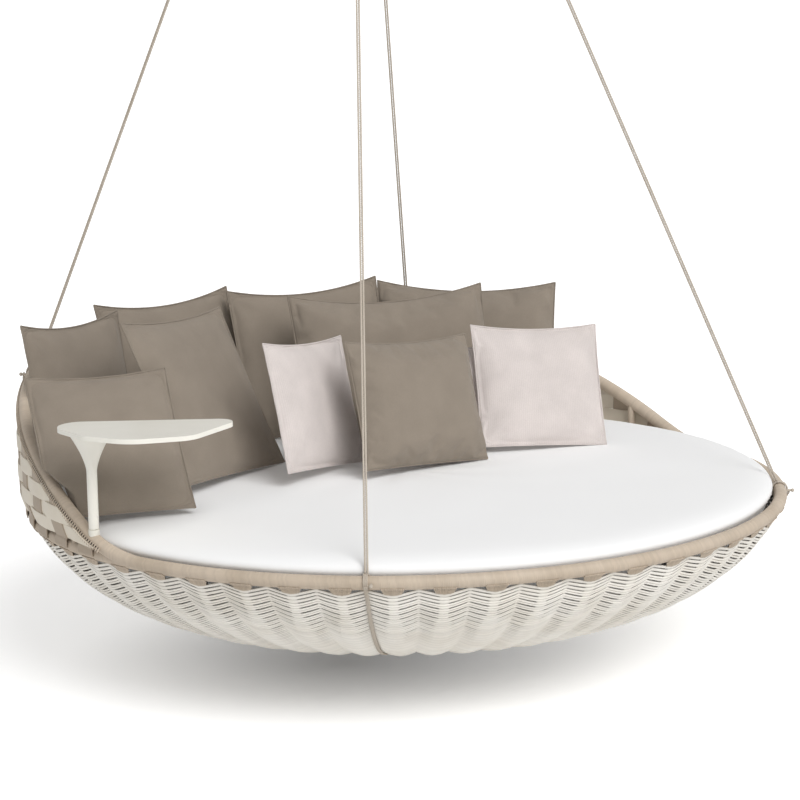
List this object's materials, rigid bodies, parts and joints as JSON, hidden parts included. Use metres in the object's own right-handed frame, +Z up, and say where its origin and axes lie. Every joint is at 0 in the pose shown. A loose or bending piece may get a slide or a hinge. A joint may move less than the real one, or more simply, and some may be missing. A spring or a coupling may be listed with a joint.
{
  "type": "hanging swing bed",
  "caption": "Round woven bowl bed with a raised back arch, hung from a ceiling swivel by four rope lines, with mattress, loose cushions and a swing-out side table.",
  "frame": {"origin": "centre of the ceiling plate's top face, where it meets the ceiling", "axes": "+Z up out of the ceiling face, bed front towards -Y, +X to the right of someone facing the bed from its front"},
  "size_m": [2.0316, 1.9659, 2.9599],
  "materials": {
    "steel": "satin stainless steel",
    "frame_steel": "cream powder coat",
    "bush": "plain bearing plastic",
    "rope": "cream braided rope",
    "wicker_beige": "beige synthetic wicker wound round the tube",
    "wicker_cream": "cream synthetic wicker",
    "wicker_taupe": "taupe synthetic wicker band",
    "webbing": "elastic webbing",
    "painted_cream": "cream paint, satin",
    "table_paint": "cast aluminium under satin cream paint",
    "mattress_cloth": "white outdoor cloth",
    "taupe_cloth": "taupe outdoor cloth",
    "striped_cloth": "light cloth with a fine woven stripe"
  },
  "bodies": {
    "ceiling_fitting": {"ceiling_plate": "steel", "swivel_bush": "bush", "thrust_washer": "steel"},
    "swivel": {"swivel_bolt": "steel", "swivel_fork": "steel", "fore_aft_pin": "steel", "fore_aft_clip": "steel"},
    "link": {"hanger_link": "steel"},
    "bed": {"hanger_yoke": "steel", "side_pin": "steel", "side_clip": "steel", "hanging_ring": "steel", "ring_nut": "steel", "rope_thimbles": "steel", "rope_ferrules": "steel", "rope_front_left": "rope", "rope_front_right": "rope", "rope_back_left": "rope", "rope_back_right": "rope", "rope_lashings": "rope", "sling_pegs": "painted_cream", "sling_left": "rope", "sling_right": "rope", "lower_ring": "frame_steel", "ring_wrap": "wicker_beige", "back_arch": "frame_steel", "arch_wrap": "wicker_beige", "arch_struts": "frame_steel", "bowl_ribs": "frame_steel", "base_hub": "frame_steel", "deck_hoop": "frame_steel", "deck_webbing": "webbing", "lower_weave": "wicker_cream", "back_bands_horizontal": "wicker_cream", "back_bands_vertical": "wicker_taupe", "table_spigot": "painted_cream", "mattress": "mattress_cloth", "cushion_left_front": "taupe_cloth", "cushion_left_back": "taupe_cloth", "cushion_left_inner": "taupe_cloth", "cushion_back_left": "taupe_cloth", "cushion_back_centre": "taupe_cloth", "cushion_back_right": "taupe_cloth", "cushion_wide": "taupe_cloth", "cushion_front_taupe": "taupe_cloth", "cushion_light_left": "striped_cloth", "cushion_light_right": "striped_cloth", "cushion_light_rear": "striped_cloth"},
    "table": {"table_post": "table_paint", "table_bush": "bush", "table_top": "table_paint"}
  },
  "joints": [
    {"name": "swivel_turn", "type": "hinge", "parent": "ceiling_fitting", "child": "swivel", "pos_m": [0, 0, -0.03], "axis": [0, 0, 1], "continuous": true},
    {"name": "swing_fore_aft", "type": "hinge", "parent": "swivel", "child": "link", "pos_m": [0, 0, -0.088], "axis": [1, 0, 0], "range_deg": [-15, 15]},
    {"name": "swing_side", "type": "hinge", "parent": "link", "child": "bed", "pos_m": [0, 0, -0.138], "axis": [0, 1, 0], "range_deg": [-15, 15]},
    {"name": "table_turn", "type": "hinge", "parent": "bed", "child": "table", "pos_m": [-0.97152, -0.10447, -2.5], "axis": [0, 0, 1], "range_deg": [-150, 10]}
  ]
}
